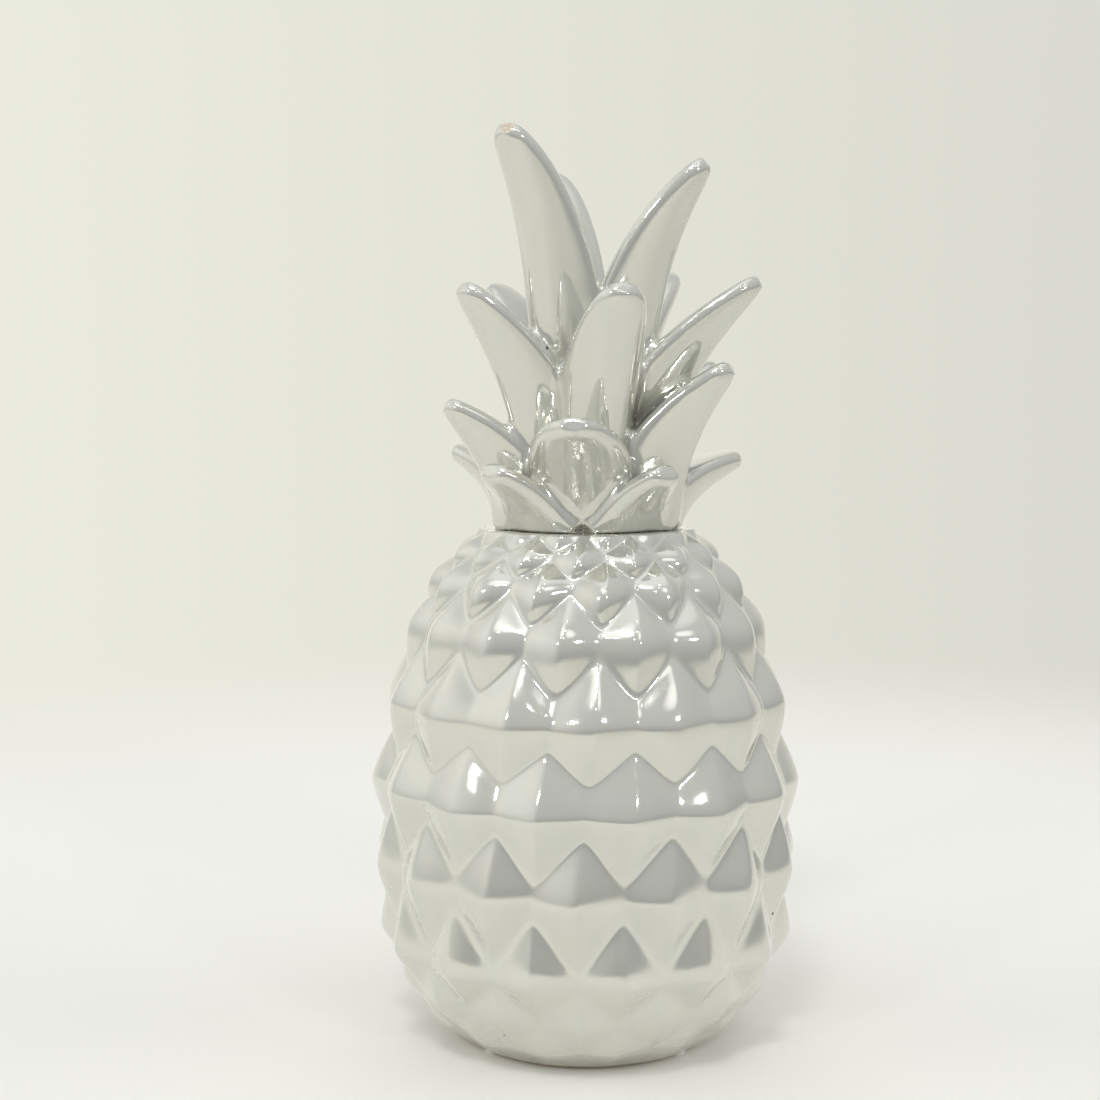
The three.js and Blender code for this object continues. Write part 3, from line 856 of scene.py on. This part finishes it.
def leaf_points(tier, index, rim, along, turn):
    """Points on one leaf: its section is swept along the line between its rims, which leaves the stem and flares out"""
    bearing = math.radians(tier["bearings"][index])
    outward = np.array([math.sin(bearing), -math.cos(bearing), 0])
    sideways = np.array([math.cos(bearing), math.sin(bearing), 0])
    up = np.array([0, 0, 1])
    root_radius, root_rise = tier["root_radius"] * MM, tier["root_rise"] * MM
    tip_radius = tier["reach"] * tier["reaches"][index] * MM
    tip_rise = tier["tip_rise"] * tier["tip_rises"][index] * MM
    knee_radius = root_radius + (tip_radius - root_radius) * tier["outs"][index]
    knee_rise = root_rise + (tip_rise - root_rise) * tier["ups"][index]
    root, knee, tip = (
        outward * radius + up * (NECK_Z + rise)
        for radius, rise in ((root_radius, root_rise), (knee_radius, knee_rise), (tip_radius, tip_rise)))
    position = (1 - (1 - along) ** TIP_CROWDING)[:, None]
    centre = root * (1 - position) ** 2 + knee * 2 * position * (1 - position) + tip * position**2
    ahead = (knee - root) * (1 - position) + (tip - knee) * position
    ahead /= np.linalg.norm(ahead, axis=1)[:, None]
    inward = np.cross(ahead, sideways)
    inward *= -np.sign(inward @ outward)[:, None]
    outline = spline_through(LEAF_OUTLINES[tier["outlines"][index]], along)
    width = tier["width"] * tier["widths"][index] * MM / 2 * outline
    rounding = spline_through(TIP_ROUNDING, along)
    half_rim = rim / 2 * rounding
    keel = tier["keel"] * tier["keels"][index] * MM * (1 - position[:, 0] ** KEEL_FULLNESS) * rounding
    trough = LEAF_TROUGH * MM * (1 - position[:, 0])
    # The section is a bar with round ends, dished on its inner face and keeled on its outer one.
    across, rise = np.cos(turn), np.sin(turn)
    spread = np.sign(across) * (1 - (1 - np.abs(across)) ** SECTION_FULLNESS)
    half_rim = np.minimum(half_rim, width)
    side = (width - half_rim) * spread + half_rim * across
    bulge = 1 - (side / width) ** 2
    depth = half_rim * rise - np.where(rise > 0, trough, keel) * bulge
    return centre + sideways * side[:, None] + inward * depth[:, None]


def edge_ends(piece):
    return read_all(piece.data.edges, "vertices", 2, int)


def vertex_normals(piece):
    return read_all(piece.data.vertex_normals, "vector")


def neighbours_mean(points, ends):
    """The mean of each vertex's neighbours"""
    counts = np.bincount(ends.ravel(), minlength=len(points)).astype(float)
    total = np.zeros_like(points)
    for axis in range(3):
        total[:, axis] = np.bincount(ends[:, 0], points[ends[:, 1], axis], len(points))
        total[:, axis] += np.bincount(ends[:, 1], points[ends[:, 0], axis], len(points))
    return total / counts[:, None]


def fill_joints(piece, passes):
    """Smooths the joined clay, and fills its inner corners as slip and glaze do, while outer edges keep their size"""
    ends, points = edge_ends(piece), coordinates(piece)
    for step in range(passes):
        set_coordinates(piece, points)
        normals = vertex_normals(piece)
        pull = neighbours_mean(points, ends) - points
        along_normal = (pull * normals).sum(1)
        # Inner corners are filled on every pass. Outer ones are let in and out by turns, so they keep their size.
        keep = np.where(along_normal > 0, FILLING, (FILLING, LETTING_OUT)[step % 2])
        sideways = pull - normals * along_normal[:, None]
        points = points + FILLING * sideways + normals * (keep * along_normal)[:, None]
    set_coordinates(piece, points)


def paint_crease_shade(piece):
    """Marks the hollows between the leaves for painted shade, which darkens the glaze there the deeper the hollow is"""
    ends, points = edge_ends(piece), coordinates(piece)
    filled = points
    for _ in range(CREASE_SHADE_PASSES):
        filled = neighbours_mean(filled, ends)
    depth = ((filled - points) * vertex_normals(piece)).sum(1)
    store_mask(piece, "painted_crease_shade", smooth_step(*CREASE_SHADE_DEPTHS, depth))


class COINBANK_OT_crown(bpy.types.Operator):
    """Models the hollow crown: a stem with four tiers of fleshy leaves, luted into one piece"""

    bl_idname = "coinbank.crown"
    bl_label = "Leafy crown"

    def execute(self, context):
        sizes = context.scene.bank_crown
        finish = context.scene.bank_finish
        neck_radius = context.scene.bank_body.groove_radius * ROW_RADII[-1]
        leaves = [(tier, index) for tier in LEAF_TIERS for index in range(len(tier["bearings"]))]
        parts = [self.stem(sizes, neck_radius), *(self.leaf(*leaf, sizes.rim) for leaf in leaves)]
        deselect_all()
        for part in parts:
            part.select_set(True)
        bpy.context.view_layer.objects.active = parts[0]
        bpy.ops.object.join()
        piece = active_object("leafy_crown")
        apply_modifier(piece, "REMESH", mode="VOXEL", voxel_size=sizes.clay_grain, use_smooth_shade=True)
        fill_joints(piece, sizes.fillet_passes)
        self.round_bottom(piece, sizes, neck_radius * STEM_RADII[0])
        cut_with(piece, self.below_neck(sizes))
        cut_with(piece, self.stem_hollow(sizes, neck_radius))
        self.chip_tips(piece)
        # Painted shade for the hollows between the leaves
        paint_crease_shade(piece)
        begin, full = TOOLED_BELOW
        store_mask(piece, "tooled", smooth_step(NECK_Z + begin, NECK_Z + full, coordinates(piece)[:, 2]))
        dress(piece, pearl_glaze(finish))
        shade(piece, 55)
        finish_piece(piece, "bank", "pearl_glaze", "crown_stem", *(leaf_name(*leaf) for leaf in leaves))
        return {"FINISHED"}

    def stem(self, sizes, neck_radius):
        """The stem, with its foot in the neck"""
        radii = [neck_radius * share for share in STEM_RADII]
        heights = [NECK_Z + sizes.seam + sizes.stem_height * share for share in STEM_HEIGHTS]
        stem = turned_piece("stem", 72, radii[0], NECK_Z - 0.004, zip(radii, heights))
        point_outwards(stem)
        return stem

    def leaf(self, tier, index, rim):
        """One leaf, pulled out of a ball of clay whose poles are its root and its tip"""
        deselect_all()
        bpy.ops.mesh.primitive_uv_sphere_add(segments=40, ring_count=44, radius=1)
        leaf = active_object(leaf_name(tier, index))
        points = coordinates(leaf)
        along = np.arccos(np.clip(-points[:, 2], -1, 1)) / math.pi
        turn = np.arctan2(points[:, 1], points[:, 0])
        placed = leaf_points(tier, index, rim, along, turn)
        # Each pole goes to the middle of the ring next to it.
        poles = np.abs(points[:, 2]) > 1 - WELD
        for half, next_to_pole in ((along < 0.5, np.min), (along > 0.5, np.max)):
            rings = half & ~poles
            nearest = rings & (np.abs(along - next_to_pole(along[rings])) < SAME_RING)
            placed[poles & half] = placed[nearest].mean(0)
        set_coordinates(leaf, placed)
        point_outwards(leaf)
        return leaf

    def round_bottom(self, piece, sizes, stem_radius):
        """Rounds the leaves' roots in towards the stem, which leaves a crease above the neck"""
        points = coordinates(piece)
        radii = from_axis(points)
        bearing = np.degrees(np.arctan2(points[:, 0], -points[:, 1]))
        apart = [np.abs((bearing - middle + 180) % 360 - 180) for middle in LEAF_TIERS[-1]["bearings"]]
        nearest, second = np.sort(apart, 0)[:2]
        notch = smooth_step(NOTCH_WIDTH, 0, (second - nearest) / 2)
        edge = NECK_Z + sizes.seam + sizes.crease * notch
        above = points[:, 2] - edge
        rounding = sizes.root_rounding
        reach = np.clip(rounding - above, 0, rounding)
        inset = rounding - np.sqrt(rounding**2 - reach**2) + np.maximum(0, -above) * UNDERCUT
        deepest = stem_radius - NOTCH_DEPTH * notch * (above < 0)
        share = np.maximum(np.minimum(radii, deepest), radii - inset) / np.maximum(radii, WELD)
        points[:, :2] *= share[:, None]
        set_coordinates(piece, points)

    def below_neck(self, sizes):
        """A flat block that trims the leaves' roots above the neck"""
        deselect_all()
        bpy.ops.mesh.primitive_cylinder_add(
            vertices=32, radius=0.09, depth=0.06, location=(0, 0, NECK_Z + sizes.seam - 0.03))
        bpy.ops.object.transform_apply(location=True, rotation=False, scale=False)
        return active_object("neck_trim")

    def stem_hollow(self, sizes, neck_radius):
        """The hollow that slip casting leaves in the stem"""
        rings = [
            (neck_radius * radius - sizes.stem_wall, NECK_Z + sizes.seam + sizes.stem_height * rise)
            for radius, rise in zip(STEM_RADII, STEM_HEIGHTS)
            if neck_radius * radius > 2 * sizes.stem_wall
        ]
        hollow = turned_piece("stem_hollow", 64, rings[0][0], NECK_Z - 0.01, rings)
        point_outwards(hollow)
        return hollow

    def chip_tips(self, piece):
        """Marks where the glaze is chipped off two tips"""
        points = coordinates(piece)
        chip = np.zeros(len(points))
        for tier, index, size in CHIPS:
            tip = leaf_points(LEAF_TIERS[tier], index, 0.0, np.array([1.0]), np.array([0.0]))[0]
            distance = np.linalg.norm(points - tip, axis=1)
            near = distance < 0.01
            ragged = noise_of(points[near], CHIP_SCALE) * CHIP_RAGGEDNESS
            chip[near] = np.maximum(chip[near], smooth_step(size, size * 0.75, distance[near] + ragged))
        store_mask(piece, "chip", chip)


# The plug and the pads


class COINBANK_OT_plug(bpy.types.Operator):
    """Models the soft moulded plug in the base, with its flange, sealing ribs and grip bar"""

    bl_idname = "coinbank.plug"
    bl_label = "Base plug"

    def execute(self, context):
        sizes = context.scene.bank_plug
        finish = context.scene.bank_finish
        low, top = PLUG_LOW.z, PLUG_HIGH.z
        flange_top = low + sizes.flange_thickness
        hollow = sizes.shank - sizes.wall
        deep = top - sizes.wall
        profile = [
            (hollow - 0.0008, deep - 0.0002),
            (hollow - 0.0006, deep - 0.0009),
            (hollow, low + 0.0009),
            (hollow + 0.0003, low + 0.0003),
            (hollow + 0.0009, low),
            (sizes.flange - 0.0009, low),
            (sizes.flange - 0.0003, low + 0.0002),
            (sizes.flange, low + 0.0008),
            (sizes.flange - 0.0001, flange_top - 0.0003),
            (sizes.flange - 0.0004, flange_top),
            (sizes.shank + 0.0004, flange_top),
            (sizes.shank - 0.0001, flange_top + 0.0004),
        ]
        for share in (0.25, 0.5, 0.75):
            middle = flange_top + (top - flange_top) * share
            shank = sizes.shank - 0.0004 - 0.0003 * share
            rib = shank + sizes.rib
            profile += [
                (shank, middle - 0.0012), (rib, middle - 0.0004), (rib, middle + 0.0004), (shank, middle + 0.0012)]
        profile += [
            (sizes.shank - 0.0007, top - 0.0012),
            (sizes.shank - 0.0011, top - 0.0004),
            (sizes.shank - 0.0019, top),
            (sizes.shank * 0.4, top),
        ]
        piece = turned_piece("vinyl_plug", 96, hollow - 0.0016, deep, profile)
        point_outwards(piece)
        cut_with(piece, self.grip_bar(sizes, hollow, deep), "UNION")
        dress(piece, grained_material(
            "Plug vinyl", finish.vinyl, dark_share=0.95, rough=0.45, grain_scale=1500.0, depth=0.00005))
        shade(piece, 35)
        finish_piece(piece, "plug", "plug_vinyl", "base_plug")
        return {"FINISHED"}

    def grip_bar(self, sizes, hollow, deep):
        """The bar across the finger hollow, with rounded edges"""
        deselect_all()
        middle = deep - sizes.bar_height / 2 + sizes.wall / 2
        bpy.ops.mesh.primitive_cube_add(size=1, location=(0, 0, middle))
        bar = active_object("grip_bar")
        bar.scale = (2 * hollow + 0.0004, sizes.bar_width, sizes.bar_height)
        bpy.ops.object.transform_apply(location=True, rotation=False, scale=True)
        edit(bar, None, bpy.ops.mesh.bevel, offset=0.0008, segments=4, affect="EDGES")
        point_outwards(bar)
        return bar


class COINBANK_OT_pads(bpy.types.Operator):
    """Models the four felt pads under the foot ring"""

    bl_idname = "coinbank.pads"
    bl_label = "Felt pads"

    def execute(self, context):
        finish = context.scene.bank_finish
        felt = grained_material(
            "Pad felt", finish.felt, dark_share=0.72, rough=0.95, grain_scale=2600.0, depth=0.0003, sheen=0.4)
        for name in sorted(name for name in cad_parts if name.startswith("foot_pad_")):
            piece = self.pad(name)
            dress(piece, felt)
            shade(piece, 40)
            finish_piece(piece, "bank", "pad_felt", name)
        return {"FINISHED"}

    def pad(self, name):
        """A punched disc of felt with a soft, slightly furry rim, set in a little from the ring's rounded edge"""
        low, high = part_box(name)
        radius, thickness = (high.x - low.x) / 2 - PAD_INSET, high.z - low.z
        deselect_all()
        bpy.ops.mesh.primitive_cylinder_add(vertices=64, radius=radius, depth=thickness, location=(0, 0, 0))
        piece = active_object(name.replace("foot", "felt"))
        edit(piece, None, bpy.ops.mesh.bevel, offset=0.0003, segments=3, affect="EDGES")
        points = coordinates(piece)
        radii = from_axis(points)
        fur = noise_of(points, FUR_SCALE)
        points[:, :2] *= (1 + FUR_SHARE * fur * (radii > radius * 0.9))[:, None]
        place = (low + high) / 2
        set_coordinates(piece, points + np.array([*pad_place(place), thickness / 2]))
        return piece


def pad_place(middle):
    """Where a pad stands: its solid's place, moved a little towards the middle of the bank"""
    share = 1 - PAD_INSET / np.hypot(middle.x, middle.y)
    return np.array([middle.x, middle.y]) * share


# The stage


def towards(azimuth, elevation):
    """The direction of a place in the room: degrees to the right of the front, and degrees up"""
    azimuth, elevation = math.radians(azimuth), math.radians(elevation)
    return Vector((
        math.sin(azimuth) * math.cos(elevation), -math.cos(azimuth) * math.cos(elevation), math.sin(elevation)))


class COINBANK_OT_stage(bpy.types.Operator):
    """Sets the pale paper floor, the soft lamps, the world and the camera"""

    bl_idname = "coinbank.stage"
    bl_label = "Stage"

    def execute(self, context):
        finish = context.scene.bank_finish
        self.floor(finish)
        self.world(context.scene, finish)
        for lamp in LAMPS:
            self.lamp(*lamp)
        self.camera(context.scene)
        context.scene.view_settings.view_transform = "Standard"
        return {"FINISHED"}

    def floor(self, finish):
        """A wide round sheet, open under the foot ring"""
        first, *others = FLOOR_RADII
        floor = turned_piece("paper_floor", 128, first, 0, [(radius, 0) for radius in others], fill="NOTHING")
        if floor.data.polygons[0].normal.z < 0:
            floor.data.flip_normals()
        floor.data.materials.append(self.paper(finish))

    def paper(self, finish):
        """Paper that fades out towards the backdrop and is seen only from above"""
        material, tree, shader = new_material("Paper floor")
        fibres = use_group(tree, "Material grain", build_grain, {"Scale": 300.0, "Contrast": 0.4})["Value"]
        tone = mix_colours(tree, fibres, [0.97 * channel for channel in finish.floor], finish.floor)
        fill_sockets(tree, shader, {"Base Color": tone, "Roughness": 0.9, "Specular IOR Level": 0.0})

        # For the camera it fades into the backdrop, and in the glaze, nearer by, into the table's colour.
        place = object_place(tree)
        distance = calculate_vector(tree, "LENGTH", place)["Value"]
        ray = add_node(tree, "ShaderNodeLightPath").outputs
        faded = calculate(tree, "MULTIPLY", map_range(tree, distance, 0.4, 0.92, soft=True), ray["Is Camera Ray"])
        mirrored = calculate(tree, "MULTIPLY", map_range(tree, distance, 0.15, 0.75), ray["Is Glossy Ray"])
        # Under each pad it is open too, so that the felt isn't black in views from below.
        low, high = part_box("foot_pad_1")
        pad = (*np.abs(pad_place((low + high) / 2)), 0.0)
        from_pad = calculate_vector(tree, "DISTANCE", calculate_vector(tree, "ABSOLUTE", place)[0], pad)["Value"]
        under_pad = calculate(tree, "LESS_THAN", from_pad, (high.x - low.x) / 2 - 2 * PAD_INSET)
        gone = add_node(tree, "ShaderNodeNewGeometry").outputs["Backfacing"]
        for other in (faded, mirrored, under_pad):
            gone = calculate(tree, "MAXIMUM", gone, other)
        clear = add_node(tree, "ShaderNodeBsdfTransparent")
        blend = add_node(tree, "ShaderNodeMixShader", {0: gone, 1: shader.outputs[0], 2: clear.outputs[0]})
        output = next(node for node in tree.nodes if node.type == "OUTPUT_MATERIAL")
        tree.links.new(blend.outputs[0], output.inputs["Surface"])
        return material

    def world(self, scene, finish):
        """A dim room with a pale table below and a pale backdrop behind, which only the glaze and the camera see"""
        world = bpy.data.worlds.new("Studio")
        world.use_nodes = True
        scene.world = world
        tree = world.node_tree
        tree.nodes.clear()
        direction = add_node(tree, "ShaderNodeTexCoord").outputs["Generated"]
        towards_axis = add_node(tree, "ShaderNodeSeparateXYZ", {0: direction}).outputs
        right, back, up = (towards_axis[axis] for axis in "XYZ")
        ray = add_node(tree, "ShaderNodeLightPath").outputs
        mirrored = calculate(tree, "MAXIMUM", ray["Is Glossy Ray"], ray["Is Transmission Ray"])

        # The room is brighter overhead and, for the glaze, on the left. For other rays it is even and dimmer.
        levels = add_node(tree, "ShaderNodeValToRGB", {0: up})
        stops = levels.color_ramp.elements
        stops[0].color, stops[1].color = (*ROOM_HORIZON, 1), (*ROOM_OVERHEAD, 1)
        for position, level in ROOM_LEVELS:
            stops.new(position).color = (level, level, level * ROOM_BLUE, 1)
        side = mix_colours(tree, map_range(tree, right, -0.95, -0.3, soft=True), ROOM_LEFT, ROOM_RIGHT)
        side = mix_colours(tree, mirrored, ROOM_UNMIRRORED, side)
        room = mix_colours(tree, 1, levels.outputs[0], side, blend="MULTIPLY")
        for azimuth, elevation, reach in GLOWS:
            facing = calculate_vector(tree, "DOT_PRODUCT", direction, towards(azimuth, elevation))["Value"]
            glow = map_range(tree, facing, math.cos(math.radians(reach)), 0.999, soft=True)
            room = mix_colours(tree, glow, room, GLOW_COLOUR)

        # The glaze mirrors the table, which is darker on the right, and the pale wall behind the bank.
        below = map_range(tree, up, -0.03, -0.12)
        behind = map_range(tree, back, 0.5, 0.85, soft=True)
        pale = calculate(tree, "MULTIPLY", calculate(tree, "MAXIMUM", below, behind), mirrored)
        darker = [0.78 * channel for channel in finish.table]
        table = mix_colours(tree, map_range(tree, right, 0.1, 0.6), finish.table, darker)
        colour = mix_colours(tree, pale, room, table)
        backdrop = mix_colours(tree, map_range(tree, right, -0.3, 0.3), finish.backdrop, finish.backdrop_shade)
        colour = mix_colours(tree, ray["Is Camera Ray"], colour, backdrop)
        light = add_node(tree, "ShaderNodeBackground", {"Color": colour, "Strength": 1.0})
        add_node(tree, "ShaderNodeOutputWorld", {"Surface": light.outputs[0]})

    def lamp(self, name, direction, distance, size, power, mirrored):
        """A rectangular soft lamp that faces the middle of the bank"""
        away = towards(*direction)
        bpy.ops.object.light_add(type="AREA", location=LAMP_AIM + away * distance)
        lamp = bpy.context.object
        lamp.name = name
        lamp.data.shape = "RECTANGLE"
        lamp.data.size, lamp.data.size_y = size
        lamp.data.energy = power
        lamp.visible_glossy = mirrored
        lamp.rotation_euler = away.to_track_quat("Z", "Y").to_euler()

    def camera(self, scene):
        """The photograph's view: 600 mm away and a little above the middle, looking slightly down and left"""
        bpy.ops.object.camera_add(
            location=CAMERA_PLACE, rotation=(math.radians(90 - CAMERA_DOWN), 0, CAMERA_LEFT))
        camera = bpy.context.object
        camera.name = "Photo view"
        camera.data.lens = CAMERA_LENS
        camera.data.sensor_width = 36
        camera.data.clip_start = 0.01
        scene.camera = camera


class COINBANK_PT_panel(bpy.types.Panel):
    """Lists the steps that dress the coin bank"""

    bl_label = "Coin Bank"
    bl_idname = "COINBANK_PT_panel"
    bl_space_type = "VIEW_3D"
    bl_region_type = "UI"
    bl_category = "Coin Bank"

    def draw(self, context):
        column = self.layout.column()
        for step in OPERATORS:
            column.operator(step.bl_idname)
        for setting, group in SETTINGS.items():
            box = column.box()
            for name in group.__annotations__:
                box.prop(getattr(context.scene, setting), name)


SETTINGS = {
    "bank_body": BankBodySettings,
    "bank_crown": CrownSettings,
    "bank_plug": PlugSettings,
    "bank_finish": FinishSettings,
}
OPERATORS = (COINBANK_OT_body, COINBANK_OT_crown, COINBANK_OT_plug, COINBANK_OT_pads, COINBANK_OT_stage)


def register():
    for group in SETTINGS.values():
        bpy.utils.register_class(group)
    for shown in (*OPERATORS, COINBANK_PT_panel):
        bpy.utils.register_class(shown)
    for name, group in SETTINGS.items():
        setattr(bpy.types.Scene, name, bpy.props.PointerProperty(type=group))


def unregister():
    for name in SETTINGS:
        delattr(bpy.types.Scene, name)
    for shown in (COINBANK_PT_panel, *reversed(OPERATORS)):
        bpy.utils.unregister_class(shown)
    for group in reversed(SETTINGS.values()):
        bpy.utils.unregister_class(group)


def main():
    register()
    bpy.ops.coinbank.body()
    bpy.ops.coinbank.crown()
    bpy.ops.coinbank.plug()
    bpy.ops.coinbank.pads()
    bpy.ops.coinbank.stage()


if __name__ == "__main__":
    main()
